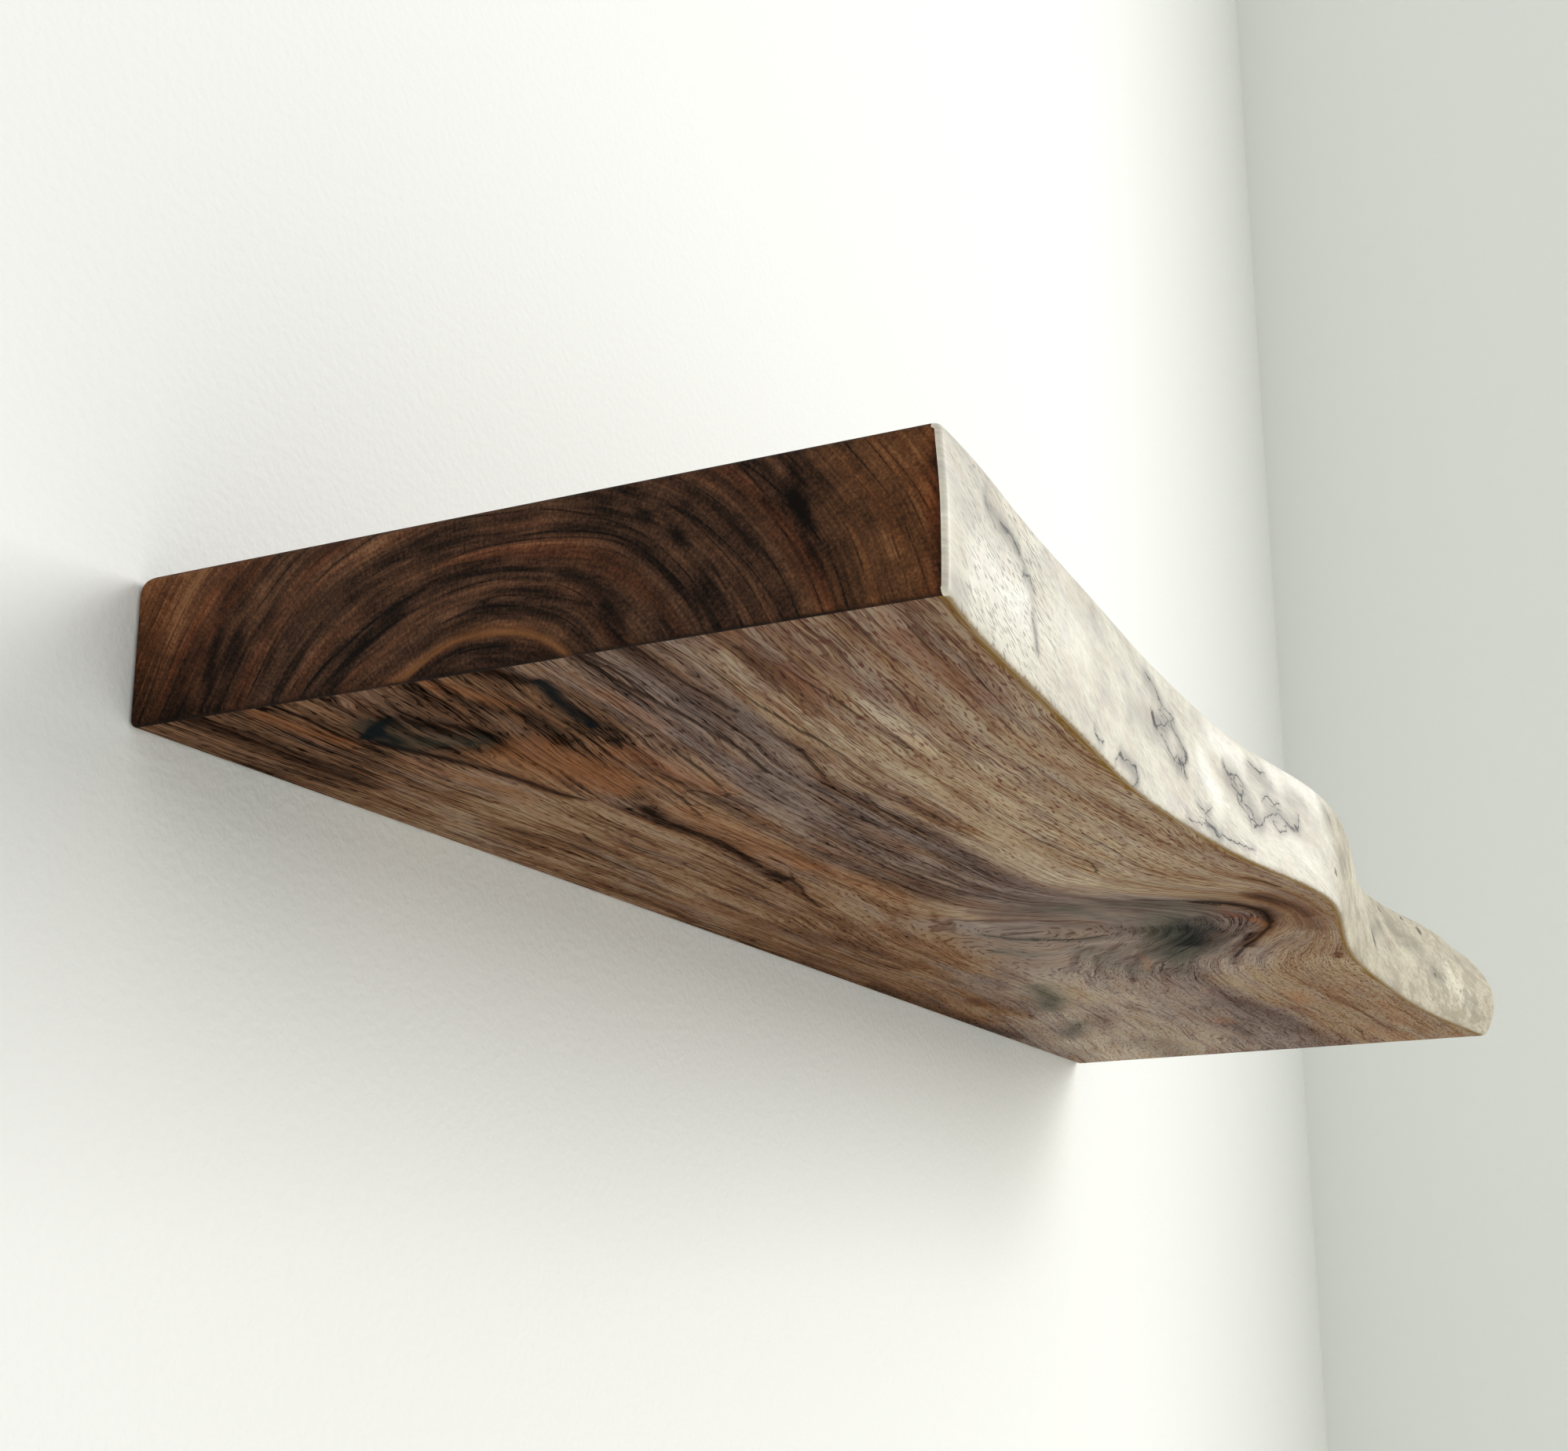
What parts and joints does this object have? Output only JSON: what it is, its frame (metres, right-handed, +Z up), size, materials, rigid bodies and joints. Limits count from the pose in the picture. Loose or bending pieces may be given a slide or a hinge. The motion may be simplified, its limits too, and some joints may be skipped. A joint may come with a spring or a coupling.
{
  "type": "floating wall shelf",
  "caption": "Live-edge wooden floating wall shelf: a thick plank with a natural front edge slides onto steel rods that stand on a hidden bar screwed to the wall.",
  "frame": {"origin": "on the wall plane, at the middle of the rear face of the hidden wall bar (mid-length and mid-thickness of the plank)", "axes": "+X along the wall and the plank, from the deep end to the shallow end; +Y into the wall, so the room and the live edge are at -Y; +Z up"},
  "size_m": [0.7, 0.2812, 0.04],
  "materials": {
    "walnut": "planed and sanded walnut heartwood with pale sapwood on the live edge, satin oil",
    "bar_steel": "black powder coat, fine texture",
    "rod_steel": "bright drawn steel",
    "bolt_steel": "black oxide",
    "screw_zinc": "zinc plated",
    "plug_nylon": "moulded grey nylon"
  },
  "bodies": {
    "bracket": {"wall_bar": "bar_steel", "rod_left": "rod_steel", "rod_centre": "rod_steel", "rod_right": "rod_steel", "rod_bolt_left": "bolt_steel", "rod_bolt_centre": "bolt_steel", "rod_bolt_right": "bolt_steel", "wall_screw_1": "screw_zinc", "wall_screw_2": "screw_zinc", "wall_screw_3": "screw_zinc", "wall_screw_4": "screw_zinc", "wall_plug_1": "plug_nylon", "wall_plug_2": "plug_nylon", "wall_plug_3": "plug_nylon", "wall_plug_4": "plug_nylon"},
    "plank": {"slab": "walnut"}
  },
  "joints": [
    {"name": "plank_slide", "type": "slide", "parent": "bracket", "child": "plank", "axis": [0, -1, 0], "range_m": [0, 0.14]}
  ]
}
